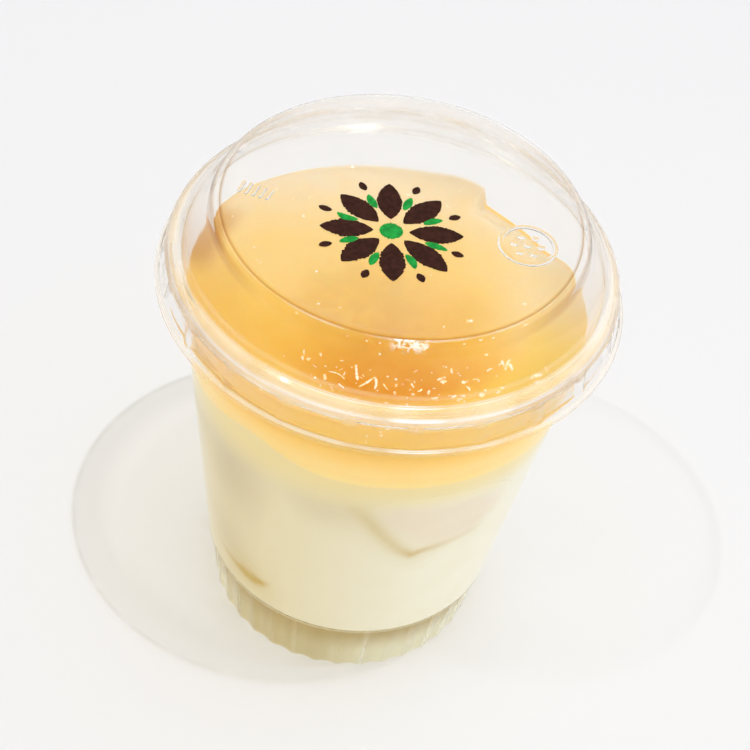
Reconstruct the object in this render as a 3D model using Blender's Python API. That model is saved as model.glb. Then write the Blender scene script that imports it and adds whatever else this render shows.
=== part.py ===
"""A fruit mousse with a jelly layer, in a clear lidded dessert cup.

The cup stands on z = 0 with its axis on Z, and the camera side is -Y. Sizes are in metres. Every round
piece is a profile of (radius, height) points turned about Z. The contents are 0.3 mm clear of the wall.
"""
import bmesh
import bpy
from math import atan2, cos, exp, hypot, pi, radians, sin, sqrt

MM = 0.001

# Driving dimensions
MOUTH_RADIUS = 44.0 * MM            # outside of the cup's rolled rim
CUP_HEIGHT = 97.2 * MM
TOTAL_HEIGHT = 108.8 * MM           # to the top of the lid
FOOT_RADIUS = 29.8 * MM             # at the ridges between the flutes
FOOT_HEIGHT = 14.6 * MM             # up to the step where the wall begins
FOOT_STEP = 0.9 * MM                # how far the foot stands in from the wall above it
FLOOR_TOP = 15.5 * MM               # the raised floor that the mousse lies on
WALL_BASE_RADIUS = 32.3 * MM        # outside of the wall, just above the foot
WALL_TOP_RADIUS = 42.3 * MM         # outside of the wall, just under the rim
WALL = 0.8 * MM                     # thickness of the cup
LID_WALL = 0.7 * MM
BEAD_RADIUS = 1.2 * MM              # half the thickness of the rolled rim
BEAD_ARC = (-75, 195)               # degrees of the rim's round section that stand clear of the wall
FLOOR_FILLET = 0.6 * MM             # under the raised floor, where it meets the foot
FLOOR_CORNER = 0.9 * MM             # on the raised floor, where it meets the wall
GAP = 0.3 * MM                      # between pieces that touch

LAYER_HEIGHT = 72.6 * MM            # where the jelly starts, at the wall
JELLY_TOP = 85.2 * MM
MOUSSE_CHAMFER = 1.2 * MM           # round the mousse's lower edge
MOUSSE_LEVELS = [30 * MM, 45 * MM, 58 * MM]
FILLING_SHARES = [0, 0.3, 0.55, 0.78, 0.9, 1.0]     # rings across the jelly, as shares of its radius

FLUTES = 36
FLUTE_DEPTH = 0.75 * MM
SEGMENTS_PER_FLUTE = 3
LUGS = 23                           # pressed-in catches round the lid's skirt
LUG_DEPTH = 0.5 * MM
LUG_HEIGHTS = (91.6 * MM, 95.6 * MM)
SEGMENTS_PER_LUG = 4
FILLING_SEGMENTS = 72

# The lid from the middle of its top to its lower edge, as (radius, depth below the very top) in mm
LID_OUTLINE = [(0, 0.35), (33.6, 0.35), (34.4, 0), (35.2, 0), (36.2, 0.3), (36.9, 0.95), (37.5, 2.8),
               (39.0, 5.65), (40.4, 7.7), (41.6, 8.8), (42.7, 10.0), (43.8, 10.6), (44.7, 11.6),
               (45.1, 12.8), (45.2, 13.8), (45.8, 16.6), (45.95, 17.5), (46.9, 18.6)]

WALL_BASE = FOOT_HEIGHT + 0.7 * MM
BEAD_CENTRE = (MOUTH_RADIUS - BEAD_RADIUS, CUP_HEIGHT - BEAD_RADIUS)
WALL_TOP = BEAD_CENTRE[1] - 0.9 * BEAD_RADIUS
WALL_SLOPE = (WALL_TOP_RADIUS - WALL_BASE_RADIUS) / (WALL_TOP - WALL_BASE)

# Outlines of the two pieces of fruit, as (distance along the wall, height) from their middles
WEDGE_AZIMUTH = radians(297)
WEDGE_HEIGHT = 58.5 * MM
WEDGE_DEPTH = 12 * MM
WEDGE_OUTLINE = [(-19.5 * MM, 9.0 * MM), (-4.5 * MM, -13.0 * MM), (17.0 * MM, -10.0 * MM),
                 (20.0 * MM, 3.0 * MM), (8.0 * MM, 10.0 * MM)]
SLICE_AZIMUTH = radians(230)
SLICE_HEIGHT = 25.0 * MM
SLICE_DEPTH = 5 * MM
SLICE_OUTLINE = [(-8.0 * MM, 1.5 * MM), (-3.0 * MM, -4.6 * MM), (8.0 * MM, -3.4 * MM), (4.0 * MM, 3.6 * MM)]
FRUIT_RINGS = 5

# Unevenness of the layers, as (azimuth in degrees, half-width in degrees, height)
LAYER_WAVES = [(237, 14, 3.4 * MM), (344, 14, -3.2 * MM), (110, 30, 1.2 * MM)]
JELLY_EDGE_WAVES = [(152, 17, 1.9 * MM), (71, 6, 1.6 * MM), (215, 30, 0.6 * MM)]
DIP_AZIMUTHS = (33, 65)             # where the jelly has slumped at the wall, in degrees
DIP_DEPTH = 3.4 * MM
DIP_START = 0.78                    # share of the radius where the slump begins
RIPPLE_HEIGHT = 0.35 * MM           # unevenness of the jelly's top
RIPPLE_TURNS = (5.1, 6.3)           # radians across the radius, along X and Y
RIPPLE_PHASE = 1.3


def wall_radius(z):
    """Outer radius of the cup's straight wall at height z."""
    return WALL_BASE_RADIUS + WALL_SLOPE * (z - WALL_BASE)


def filling_radius(z):
    """Radius of the contents at height z, clear of the inside of the wall."""
    return wall_radius(z) - WALL - GAP


def wave(angle, waves):
    """Sum of smooth humps: each is height * exp(-(offset / half-width) ** 2)."""
    total = 0.0
    for azimuth, width, height in waves:
        offset = (angle - azimuth + 180) % 360 - 180
        total += height * exp(-(offset / width) ** 2)
    return total


def blend(value, low, high):
    """Smooth step from 0 at low to 1 at high."""
    t = min(max((value - low) / (high - low), 0.0), 1.0)
    return t * t * (3 - 2 * t)


def layer_height(share, angle):
    """Boundary between mousse and jelly: flat in the middle, wavy towards the wall."""
    return LAYER_HEIGHT + share ** 2 * wave(angle, LAYER_WAVES)


def jelly_height(share, angle):
    """Top of the jelly: nearly level, raised or slumped in places at the wall."""
    along_x = sin(RIPPLE_TURNS[0] * share * cos(radians(angle)) + RIPPLE_PHASE)
    along_y = sin(RIPPLE_TURNS[1] * share * sin(radians(angle)))
    ripple = RIPPLE_HEIGHT * along_x * along_y
    slump = blend(angle, DIP_AZIMUTHS[0] - 8, DIP_AZIMUTHS[0] + 8)
    slump *= 1 - blend(angle, DIP_AZIMUTHS[1] - 2, DIP_AZIMUTHS[1] + 2)
    slump *= blend(share, DIP_START, 1.0) * DIP_DEPTH
    return JELLY_TOP + ripple - slump + share ** 5 * wave(angle, JELLY_EDGE_WAVES)


def clear_scene():
    for thing in list(bpy.data.objects):
        bpy.data.objects.remove(thing, do_unlink=True)


def make_material(name, colour, roughness, alpha=1.0):
    material = bpy.data.materials.new(name)
    material.use_nodes = True
    shader = material.node_tree.nodes["Principled BSDF"]
    shader.inputs["Base Color"].default_value = (*colour, 1.0)
    shader.inputs["Roughness"].default_value = roughness
    shader.inputs["Metallic"].default_value = 0.0
    shader.inputs["Alpha"].default_value = alpha
    return material


def add_object(name, mesh, material, smooth_angle=35):
    """Close the bmesh into an object with outward faces and its material."""
    bmesh.ops.remove_doubles(mesh, verts=mesh.verts, dist=1e-6)
    bmesh.ops.recalc_face_normals(mesh, faces=mesh.faces)
    bmesh.ops.triangulate(mesh, faces=mesh.faces)
    data = bpy.data.meshes.new(name)
    mesh.to_mesh(data)
    mesh.free()
    data.shade_smooth()
    data.set_sharp_from_angle(angle=radians(smooth_angle))
    data.materials.append(material)
    thing = bpy.data.objects.new(name, data)
    bpy.context.scene.collection.objects.link(thing)
    return thing


def turn(profile, segments, closed=False):
    """Spin an outline of (radius, height) points once round the Z axis."""
    mesh = bmesh.new()
    points = [mesh.verts.new((r, 0, z)) for r, z in profile]
    pairs = list(zip(points, points[1:]))
    if closed:
        pairs.append((points[-1], points[0]))
    edges = [mesh.edges.new(pair) for pair in pairs]
    bmesh.ops.spin(mesh, geom=points + edges, cent=(0, 0, 0), axis=(0, 0, 1), angle=2 * pi,
                   steps=segments, use_merge=True, use_duplicate=False)
    bmesh.ops.remove_doubles(mesh, verts=mesh.verts, dist=1e-6)
    return mesh


def arc(centre, radius, start, end, steps):
    """Points of an arc in the (radius, height) plane, angles in degrees."""
    angles = [radians(start + (end - start) * i / steps) for i in range(steps + 1)]
    return [(centre[0] + radius * cos(a), centre[1] + radius * sin(a)) for a in angles]


def build_cup(material):
    """Cup with a rolled rim, a raised floor and a hollow fluted foot."""
    floor_edge = wall_radius(FLOOR_TOP) - WALL - FLOOR_CORNER
    foot_top = WALL_BASE_RADIUS - FOOT_STEP
    foot_under = FLOOR_TOP - WALL
    profile = [(0, foot_under), (foot_top - WALL - FLOOR_FILLET, foot_under)]
    profile += [(foot_top - WALL, foot_under - FLOOR_FILLET)]
    profile += [(FOOT_RADIUS - WALL, 0), (FOOT_RADIUS, 0), (foot_top, FOOT_HEIGHT)]
    profile += [(WALL_BASE_RADIUS, WALL_BASE), (WALL_TOP_RADIUS, WALL_TOP)]
    profile += arc(BEAD_CENTRE, BEAD_RADIUS, *BEAD_ARC, 7)
    profile += [(WALL_TOP_RADIUS - WALL, WALL_TOP), (wall_radius(FLOOR_TOP + MM) - WALL, FLOOR_TOP + MM)]
    profile += [(floor_edge, FLOOR_TOP), (0, FLOOR_TOP)]
    mesh = turn(profile, FLUTES * SEGMENTS_PER_FLUTE)
    for vert in mesh.verts:
        radius = hypot(vert.co.x, vert.co.y)
        if vert.co.z > FOOT_HEIGHT + 1e-6 or radius < FOOT_RADIUS - 2 * MM:
            continue
        # Ridges stand at the zeros of the cosine, and each flute between them is a hollow arc.
        depth = FLUTE_DEPTH * abs(cos(FLUTES / 2 * atan2(vert.co.y, vert.co.x)))
        depth *= 1 - 0.5 * vert.co.z / FOOT_HEIGHT
        vert.co.x *= 1 - depth / radius
        vert.co.y *= 1 - depth / radius
    return add_object("cup", mesh, material)


def build_lid(material):
    """Clear lid: flat raised top, sloping shoulder, flange over the rim and a skirt with catches."""
    outer = [(radius * MM, TOTAL_HEIGHT - depth * MM) for radius, depth in LID_OUTLINE]
    mesh = turn(outer + offset_inwards(outer, LID_WALL), LUGS * SEGMENTS_PER_LUG)
    for vert in mesh.verts:
        radius = hypot(vert.co.x, vert.co.y)
        if radius < MOUTH_RADIUS or not LUG_HEIGHTS[0] < vert.co.z < LUG_HEIGHTS[1]:
            continue
        # Three of each four segments are pressed in, and the fourth is the rib between two catches.
        step = round(atan2(vert.co.y, vert.co.x) / (2 * pi) * LUGS * SEGMENTS_PER_LUG)
        if step % SEGMENTS_PER_LUG:
            vert.co.x *= 1 - LUG_DEPTH / radius
            vert.co.y *= 1 - LUG_DEPTH / radius
    return add_object("lid", mesh, material, 25)


def offset_inwards(outer, thickness):
    """The same outline moved in by the wall, listed back from the skirt to the middle."""
    inner = []
    for i, (r, z) in enumerate(outer):
        before = outer[max(i - 1, 0)]
        after = outer[min(i + 1, len(outer) - 1)]
        dr, dz = after[0] - before[0], after[1] - before[1]
        length = hypot(dr, dz)
        inner.append((max(r + dz / length * thickness, 0.0) if i else 0.0, z - dr / length * thickness))
    return inner[::-1]


def build_jelly(material):
    """Jelly layer between the wavy boundary and the uneven top."""
    profile = [(s, 0) for s in FILLING_SHARES] + [(s, 1) for s in reversed(FILLING_SHARES)]
    mesh = turn(profile, FILLING_SEGMENTS)
    for vert in mesh.verts:
        share = hypot(vert.co.x, vert.co.y)
        angle = atan2(vert.co.y, vert.co.x)
        degrees_round = (angle * 180 / pi) % 360
        if vert.co.z > 0.5:
            height = jelly_height(share, degrees_round)
        else:
            height = layer_height(share, degrees_round) + GAP / 2
        radius = share * filling_radius(height)
        vert.co = (radius * cos(angle), radius * sin(angle), height)
    return add_object("jelly", mesh, material)


def build_mousse(material, cutters):
    """Mousse from the raised floor up to the wavy boundary, with pockets for the fruit."""
    shares = [1.0, 0.75, 0.4, 0]
    bottom = FLOOR_TOP + GAP
    profile = [(0, bottom), (filling_radius(bottom) - MOUSSE_CHAMFER, bottom)]
    profile += [(filling_radius(z), z) for z in [bottom + MOUSSE_CHAMFER] + MOUSSE_LEVELS]
    profile += [(s, 1) for s in shares]
    mesh = turn(profile, FILLING_SEGMENTS)
    for vert in mesh.verts:
        if vert.co.z < 0.5:
            continue
        share = hypot(vert.co.x, vert.co.y)
        angle = atan2(vert.co.y, vert.co.x)
        height = layer_height(share, (angle * 180 / pi) % 360) - GAP / 2
        radius = share * filling_radius(height)
        vert.co = (radius * cos(angle), radius * sin(angle), height)
    mousse = add_object("mousse", mesh, material)
    for cutter in cutters:
        pocket = mousse.modifiers.new(cutter.name, "BOOLEAN")
        pocket.operation = "DIFFERENCE"
        pocket.solver = "EXACT"
        pocket.object = cutter
    return mousse


def rounded(outline, rounds=2):
    """Cut every corner of a closed outline at a quarter of its sides, a few times over."""
    for _ in range(rounds):
        cut = []
        for (x0, y0), (x1, y1) in zip(outline, outline[1:] + outline[:1]):
            cut.append((x0 * 0.75 + x1 * 0.25, y0 * 0.75 + y1 * 0.25))
            cut.append((x0 * 0.25 + x1 * 0.75, y0 * 0.25 + y1 * 0.75))
        outline = cut
    return outline


def fruit_piece(name, azimuth, height, outline, depth, material, grow=0.0, proud=0.0):
    """Piece of fruit pressed flat against the wall, its back a half dome of the given depth.

    Rings shrink from the outline to its middle as sin(t), while the back deepens as cos(t).
    """
    mesh = bmesh.new()
    edge = []
    for x, y in rounded(outline):
        length = hypot(x, y)
        edge.append((x * (1 + grow / length), y * (1 + grow / length)))
    rings = []
    sides = [(i / FRUIT_RINGS, proud, False) for i in range(FRUIT_RINGS + 1)]
    sides += [(i / FRUIT_RINGS, 0.0, True) for i in range(FRUIT_RINGS, -1, -1)]
    for part, out, back in sides:
        spread = sin(part * pi / 2)
        sunk = (depth + grow) * sqrt(max(1 - spread ** 2, 0)) if back else -out
        ring = []
        for x, y in edge:
            z = height + y * spread
            radius = filling_radius(z)
            angle = azimuth + x * spread / radius
            ring.append(mesh.verts.new(((radius - sunk) * cos(angle), (radius - sunk) * sin(angle), z)))
        rings.append(ring)
    count = len(edge)
    for ring, following in zip(rings, rings[1:]):
        for i in range(count):
            j = (i + 1) % count
            mesh.faces.new((ring[i], ring[j], following[j], following[i]))
    return add_object(name, mesh, material)


def fruit_cutter(name, azimuth, height, outline, depth, material):
    """The same piece, larger by the gap and standing out through the side of the mousse."""
    cutter = fruit_piece(name, azimuth, height, outline, depth, material, grow=1.4 * GAP, proud=MM)
    cutter.hide_render = True
    cutter.display_type = "WIRE"
    return cutter


def main():
    clear_scene()
    clear_plastic = make_material("clear_plastic", (0.93, 0.94, 0.93), 0.05, alpha=0.25)
    amber_jelly = make_material("amber_jelly", (0.95, 0.62, 0.16), 0.08)
    cream_mousse = make_material("cream_mousse", (0.90, 0.84, 0.66), 0.5)
    pale_fruit = make_material("pale_fruit", (0.87, 0.76, 0.62), 0.35)
    brown_fruit = make_material("brown_fruit", (0.62, 0.42, 0.18), 0.35)
    build_cup(clear_plastic)
    build_lid(clear_plastic)
    build_jelly(amber_jelly)
    wedge = (WEDGE_AZIMUTH, WEDGE_HEIGHT, WEDGE_OUTLINE, WEDGE_DEPTH)
    fruit_slice = (SLICE_AZIMUTH, SLICE_HEIGHT, SLICE_OUTLINE, SLICE_DEPTH)
    fruit_piece("fruit_wedge", *wedge, pale_fruit)
    fruit_piece("fruit_slice", *fruit_slice, brown_fruit)
    pockets = [fruit_cutter("wedge_pocket", *wedge, cream_mousse),
               fruit_cutter("slice_pocket", *fruit_slice, cream_mousse)]
    build_mousse(cream_mousse, pockets)


main()
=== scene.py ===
"""A fruit mousse with a jelly layer, in a clear lidded dessert cup.

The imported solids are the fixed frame: the cup stands on z = 0 with its axis on Z, and its shown side
faces -Y.
Each piece here is a finer surface of the same form and size. Its points are worked out as whole arrays on a
grid of [row, column], where the columns run once round. Lengths are in metres where nothing says mm, and
angles are in degrees.
"""

import bpy
import numpy as np
from bpy.props import FloatProperty, FloatVectorProperty, IntProperty, PointerProperty
from bpy.types import Operator, Panel, PropertyGroup
from mathutils import Matrix, Vector


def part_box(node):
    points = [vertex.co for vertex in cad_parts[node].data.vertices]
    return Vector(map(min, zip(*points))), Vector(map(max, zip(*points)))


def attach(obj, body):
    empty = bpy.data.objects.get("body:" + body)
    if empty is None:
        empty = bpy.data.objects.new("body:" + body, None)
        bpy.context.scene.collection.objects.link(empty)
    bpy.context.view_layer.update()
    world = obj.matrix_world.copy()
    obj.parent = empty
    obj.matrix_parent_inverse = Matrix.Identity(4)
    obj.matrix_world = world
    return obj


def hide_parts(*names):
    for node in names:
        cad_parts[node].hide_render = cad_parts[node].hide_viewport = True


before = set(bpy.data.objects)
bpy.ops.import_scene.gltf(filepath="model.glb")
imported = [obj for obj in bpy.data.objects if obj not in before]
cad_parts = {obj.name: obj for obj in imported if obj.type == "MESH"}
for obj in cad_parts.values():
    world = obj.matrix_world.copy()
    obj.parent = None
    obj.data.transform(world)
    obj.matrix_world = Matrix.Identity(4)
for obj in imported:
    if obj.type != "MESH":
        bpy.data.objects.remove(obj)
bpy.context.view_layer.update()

bl_info = {
    "name": "Mousse Cup",
    "version": (1, 0, 0),
    "blender": (4, 5, 0),
    "location": "3D View > Sidebar > Dessert",
    "description": "Builds a mousse with a jelly layer in its clear lidded cup, on a plain pale floor",
    "category": "Mesh",
}

MM = 0.001
BODY = "root"
SEED = 7

# The cup and the lid, from the solids they stand for
CUP_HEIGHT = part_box("cup")[1].z
MOUTH_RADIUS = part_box("cup")[1].x
TOTAL_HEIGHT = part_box("lid")[1].z
FOOT_RADIUS = 29.8 * MM
FOOT_HEIGHT = 14.6 * MM
FOOT_STEP = 0.9 * MM
FLOOR_TOP = 15.5 * MM
WALL_BASE = 15.3 * MM
WALL_BASE_RADIUS = 32.3 * MM
WALL_TOP_RADIUS = 42.3 * MM
RIDGE_ROUNDING = 0.3
BEAD_RADIUS = 1.2 * MM
BEAD_ARC = (-75, 195)
BEAD_CENTRE = (MOUTH_RADIUS - BEAD_RADIUS, CUP_HEIGHT - BEAD_RADIUS)
WALL_TOP = BEAD_CENTRE[1] - 0.9 * BEAD_RADIUS
WALL_SLOPE = (WALL_TOP_RADIUS - WALL_BASE_RADIUS) / (WALL_TOP - WALL_BASE)
# Radius of the contents' outer face, carried down along the wall's slope to height 0
FACE_START = WALL_BASE_RADIUS - WALL_SLOPE * WALL_BASE - 0.45 * MM

# The lid from the middle of its top to its lower edge: radius and depth below the very top, in mm
LID_OUTLINE = [
    (0, 0.35), (33.6, 0.35), (34.4, 0), (35.2, 0), (36.2, 0.3), (36.9, 0.95), (37.5, 2.8), (39.0, 5.65),
    (40.4, 7.7), (41.6, 8.8), (42.7, 10.0), (43.8, 10.6), (44.7, 11.6), (45.1, 12.8), (45.2, 13.8),
    (45.8, 16.6), (45.95, 17.5), (46.9, 18.6),
]
LID_SOFTNESS = 0.32 * MM
SHOULDER_SOFTNESS = 0.7 * MM
# Radii, in mm, over which the shoulder begins and ends, and over which the step inside the top's edge ends
SHOULDER_BEGINS, SHOULDER_ENDS, STEP_ENDS = (37.2, 38.2), (40.6, 41.8), (34.8, 35.8)
# Painted highlights on the lid's moulded edges, laid on as a pale layer: depth below the very top in mm, and
# how much of it
LID_HIGHLIGHTS = [
    (8.3, 0), (8.6, 0.02), (8.8, 0.2), (9.0, 0.04), (9.8, 0.05), (9.95, 0.5), (10.2, 0.3), (11.25, 0.28),
    (11.45, 0.5), (11.75, 0.5), (11.95, 0.26), (12.4, 0.3), (13.3, 0.26), (14.4, 0), (17.7, 0),
    (17.85, 0.43), (18.05, 0.41), (18.2, 0.05),
]
HIGHLIGHT_SPAN = 20
# Where the painted highlights on the lid's edges gleam brightest, at the front and on the top's edge: (x, y),
# in mm
FRONT_GLEAM = (9.3, -44.3)
EDGE_GLEAM = (5.6, -35.8)
# The catches: heights, in mm, over which they begin and end, the step outside the mouth over which they set
# in, and the angles from a rib's middle over which the rib ends
LUG_BEGINS, LUG_ENDS = (91.0, 91.8), (95.2, 96.0)
LUG_EDGE = 0.3 * MM
RIB_HALF_WIDTHS = (1.3, 2.5)

# What lies on the lid's flat top, low enough to stay under the top's edge: the relief and the printed flower.
# Places and sizes with no unit are in mm, and the flower's first petal points to its turn.
LID_PANEL = TOTAL_HEIGHT - 0.27 * MM
RING_MIDDLE = (24.6, -4.0)
RING_RADIUS = 5.3
RING_TUBE = (0.55, 0.24)
DOTS_RADIUS = 2.6
DOT_REACH, DOT_HALF_WIDTH = (0.75, 0), 0.7
BARS_START = (-31.2, -1.0)
BARS_STEP = (1.4, -0.25)
BAR_REACH, BAR_HALF_WIDTH = (0.4, 1.9), 0.4
MARK_HALF_HEIGHT = 0.22
FLOWER_MIDDLE = (-1.5, -6.5)
FLOWER_TURN = 8
INK_HALF_HEIGHT = 0.03 * MM

# The contents
LAYER_HEIGHT = 72.6 * MM
JELLY_TOP = 85.2 * MM
# Waves at the wall: azimuth, half-width and height
LAYER_WAVES = [(237, 14, 3.4 * MM), (344, 14, -3.2 * MM), (110, 30, 1.2 * MM)]
JELLY_EDGE_WAVES = [(152, 17, 1.9 * MM), (72, 11, 1.5 * MM), (215, 30, 0.6 * MM)]
# The slump: azimuths over which it begins and ends, the share of the radius where it starts, and its depth
SLUMP_BEGINS, SLUMP_ENDS = (25, 41), (64, 66)
SLUMP_START = 0.78
SLUMP_DEPTH = 3.4 * MM
# How far the layer turns down and up at the wall, and how far it stands proud of the mousse there
JELLY_TURN_DOWN, JELLY_TURN_UP, JELLY_PROUD = 0.3 * MM, 0.5 * MM, 0.03 * MM
RIPPLE_HEIGHT = 0.35 * MM
RIPPLE_TURNS = (5.1, 6.3)
RIPPLE_PHASE = 1.3
# Where the jelly's colour is deepest, and how far from there its colours reach: painted light and shade
JELLY_DEEPEST = (4 * MM, -30 * MM, JELLY_TOP)
JELLY_SPAN = 70 * MM
# Domes and loose creases: the share of them at the front, the middle and spread of the azimuth there, and
# their least and greatest sizes in mm
FRONT_SHARE = 0.75
FRONT_AZIMUTH = (285, 28)
DOME_RADII = (0.12, 0.42)
CREASE_HALF_LENGTHS = (0.3, 0.9)
CREASE_HALF_WIDTHS = (0.05, 0.12)
# Creases in the jelly's top, painted pale as glints: from (x, y) to (x, y) and half the width, in mm. They
# are made wider than this by the factor.
CREASE_FACTOR = 1.3
CREASES = [
    (-9.6, -24.1, -9.2, -25.7, 0.22), (-8.9, -23.2, -5.5, -24.6, 0.1), (-3.9, -19.9, -3, -24.4, 0.24),
    (-2.7, -26.2, 0.1, -22.6, 0.16), (0.1, -22.6, 0.4, -26.1, 0.18), (4.2, -24, 4.6, -24, 0.3),
    (4.2, -26.3, 4.6, -26.1, 0.28), (4.3, -12.6, 5.8, -13.4, 0.25), (5.6, -13.7, 7.1, -12.2, 0.22),
    (6.6, -11.5, 8.9, -10.6, 0.3), (7.5, -12.7, 8.6, -11.4, 0.2), (5.9, -12.2, 6.3, -10.8, 0.16),
    (-2.8, -12.8, -2.5, -12.9, 0.25), (-0.3, -12.8, 0.2, -12.9, 0.25), (-6.8, -12.6, -6.4, -12.7, 0.18),
    (10.8, -23.6, 10.7, -24.9, 0.2), (12.1, -20.5, 13.7, -19.3, 0.2), (12.7, -20.8, 14, -20.3, 0.22),
    (-11, -18.5, -10.7, -19.4, 0.16), (-14.5, -20.1, -14.1, -21.3, 0.16), (11.8, -5.7, 12.2, -5.7, 0.25),
    (16.2, -3.1, 17.6, -2.6, 0.28), (19.1, -7.5, 19.8, -7.1, 0.3), (16.1, -9.5, 16.7, -9.3, 0.2),
    (21.7, -6.6, 22.1, -6.3, 0.2), (27.2, 5.1, 28.1, 5, 0.22), (24, -12.3, 24.7, -14.1, 0.18),
    (25, -14.9, 25.8, -11.6, 0.2), (25.2, -12.9, 26.2, -14.8, 0.22), (23.5, -13.9, 24.4, -12.8, 0.14),
    (14.6, -16.6, 14.9, -18, 0.16), (19.8, -18.9, 20, -18.7, 0.28), (20.4, -22.6, 21.5, -22, 0.3),
    (15.2, -24.6, 16.1, -23.6, 0.18), (16.4, -25.1, 17.5, -24.1, 0.18), (16.8, -23.4, 17.6, -23.5, 0.16),
    (13, -19.9, 13.3, -20, 0.32), (13.2, -20.9, 13.5, -21, 0.22), (24.5, -19.9, 25.2, -19.4, 0.22),
    (27.7, -1.3, 28.7, -0.7, 0.2), (23.7, -21.3, 24.4, -20.5, 0.2), (11.4, -25.8, 12.7, -25.2, 0.16),
    (1.9, -24, 3, -25.6, 0.12), (7.2, -22.5, 7.9, -23.7, 0.12), (8.6, -24.6, 9.4, -23.6, 0.14),
    (-6.6, -26, -5.3, -27.1, 0.12), (17.8, -20.8, 18.6, -21.9, 0.14), (21.5, -16, 22.4, -15, 0.14),
    (30, -16.2, 32.3, -14.5, 0.3), (30.7, -17.1, 33, -15.8, 0.22), (-20.6, 20, -19.9, 20.2, 0.25),
    (-20, 25.6, -19.3, 26, 0.2), (-13.8, -5.7, -13.1, -5.3, 0.14), (-9.4, -5.4, -8.8, -5.1, 0.12),
]

# Fruit against the wall: azimuth, height, depth and an outline of (distance along the wall, height) in mm
WEDGE = (297, 58.5 * MM, 12 * MM, [(-19.5, 9), (-4.5, -13), (17, -10), (20, 3), (8, 10)])
SLICE = (230, 25 * MM, 5 * MM, [(-8, 1.5), (-3, -4.6), (8, -3.4), (4, 3.6)])
# Painted shadow along their lower rims, in brown, as lines of azimuth, height in mm, half-width in mm and
# amount
FRUIT_RIM_SHADOWS = [
    [(268.5, 66.5, 2.4, 0), (272, 63.4, 2.3, 0.24), (276.9, 59, 2.1, 0.36), (282.1, 54, 1.9, 0.36),
     (287.6, 49.5, 1.6, 0.38), (291.8, 47.3, 1.2, 0.58), (295.8, 48.4, 1.1, 0.46), (304.8, 49.4, 1.2, 0.26),
     (313.2, 50.2, 1.5, 0.16), (318.5, 53, 1.8, 0)],
    [(217, 24.4, 0.6, 0.15), (222, 23.2, 1, 0.4), (227, 22.9, 1.5, 0.62), (232.2, 23, 1.9, 0.95),
     (236, 22.9, 1.8, 0.95), (239.5, 23.3, 1.3, 0.8), (242.7, 24.4, 0.9, 0.35), (245.4, 26, 0.9, 0)],
]
RIM_SHADOW_HALO = 3.2
RIM_SHADOW_HALO_SHARE = 0.3
FRUIT_BLEND = 7 * MM
FRUIT_LIP = 0.7 * MM
FRUIT_ROUNDS = 4
FRUIT_GAP = 0.3 * MM

# Broad painted shade on the mousse, where a negative amount leaves a paler band of painted reflection:
# azimuth, half-width, height and half-height in mm, and amount of the darker shade
MOUSSE_PAINTED_SHADE = [
    (227, 15, 58, 14, 0.85), (262, 13, 62, 6, 0.45), (247, 5, 42, 18, -0.5), (222, 12, 30, 10, 0.6),
]

# The camera: a long lens that looks down on the side at -Y, at a distance from its aim on the axis, and is
# then rolled, tilted and panned
CAMERA_ELEVATION = 41.685
CAMERA_ROLL = 9.761
CAMERA_TILT = -3.8512
CAMERA_PAN = 0.6495
CAMERA_DISTANCE = 354.5 * MM
CAMERA_AIM = 97.25 * MM
CAMERA_LENS = 86.4

# The lamps' aim, and the place, size and colour of each
LAMP_AIM = (0, 0, 60 * MM)
RIGHT_LAMP = ((0.232, -0.149, 1.361), 12 * MM, (1, 0.98, 0.95))
LEFT_LAMP = ((-1.096, -0.569, 2.5), 25 * MM, (1, 0.99, 0.98))
FLOOR_HALF_SIDE = 4.0


# Surfaces

def wall_radius(z):
    """Outer radius of the straight wall, which grows evenly with the height z."""
    return WALL_BASE_RADIUS + WALL_SLOPE * (z - WALL_BASE)


def smooth(value, low, high):
    """Smooth step: 3 t^2 - 2 t^3, where t runs from 0 at low to 1 at high."""
    t = np.clip((value - low) / (high - low), 0, 1)
    return t * t * (3 - 2 * t)


def off(angle, azimuth):
    """How far an angle is from an azimuth, the short way round."""
    return (angle - azimuth + 180) % 360 - 180


def humps(angle, waves):
    """Sum of height * exp(-(offset / half-width)^2) over the waves."""
    azimuth, width, height = np.array(waves).T[:, :, None, None]
    return (height * np.exp(-(off(angle, azimuth) / width) ** 2)).sum(0)


def layer_height(share, angle):
    """Boundary of mousse and jelly: level in the middle, wavy by the square of the share of the radius."""
    return LAYER_HEIGHT + share ** 2 * humps(angle, LAYER_WAVES)


def jelly_height(share, angle):
    """Top of the jelly: a low ripple of two sines, a slump between two azimuths and humps at the wall."""
    turn = np.radians(angle)
    ripple = np.sin(RIPPLE_TURNS[0] * share * np.cos(turn) + RIPPLE_PHASE)
    ripple = ripple * np.sin(RIPPLE_TURNS[1] * share * np.sin(turn)) * RIPPLE_HEIGHT
    slump = smooth(angle, *SLUMP_BEGINS) * (1 - smooth(angle, *SLUMP_ENDS))
    slump = slump * smooth(share, SLUMP_START, 1) * SLUMP_DEPTH
    return JELLY_TOP + ripple - slump + share ** 5 * humps(angle, JELLY_EDGE_WAVES)


def rounded(corners):
    """Outline of (radius, height) whose corners are curves.

    A corner P with a cut c becomes (1-t)^2 A + 2t(1-t) P + t^2 B, where A and B lie c before and after P.
    """
    corners = np.asarray(corners, float)
    points, cut = corners[:, :2], corners[:, 2:]

    def towards(target):
        """Each corner moved by its cut towards the target, at most by 0.45 of the way."""
        way = target - points
        length = np.maximum(np.linalg.norm(way, axis=1, keepdims=True), 1e-9)
        return points + way / length * np.minimum(cut, 0.45 * length)

    start = towards(np.vstack([points[:1], points[:-1]]))[:, None]
    end = towards(np.vstack([points[1:], points[-1:]]))[:, None]
    t = np.linspace(0, 1, 5)[None, :, None]
    curve = ((1 - t) ** 2 * start + 2 * t * (1 - t) * points[:, None] + t ** 2 * end).reshape(-1, 2)
    apart = np.linalg.norm(np.diff(curve, axis=0), axis=1) > 1e-7
    return curve[np.r_[True, apart]]


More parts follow.
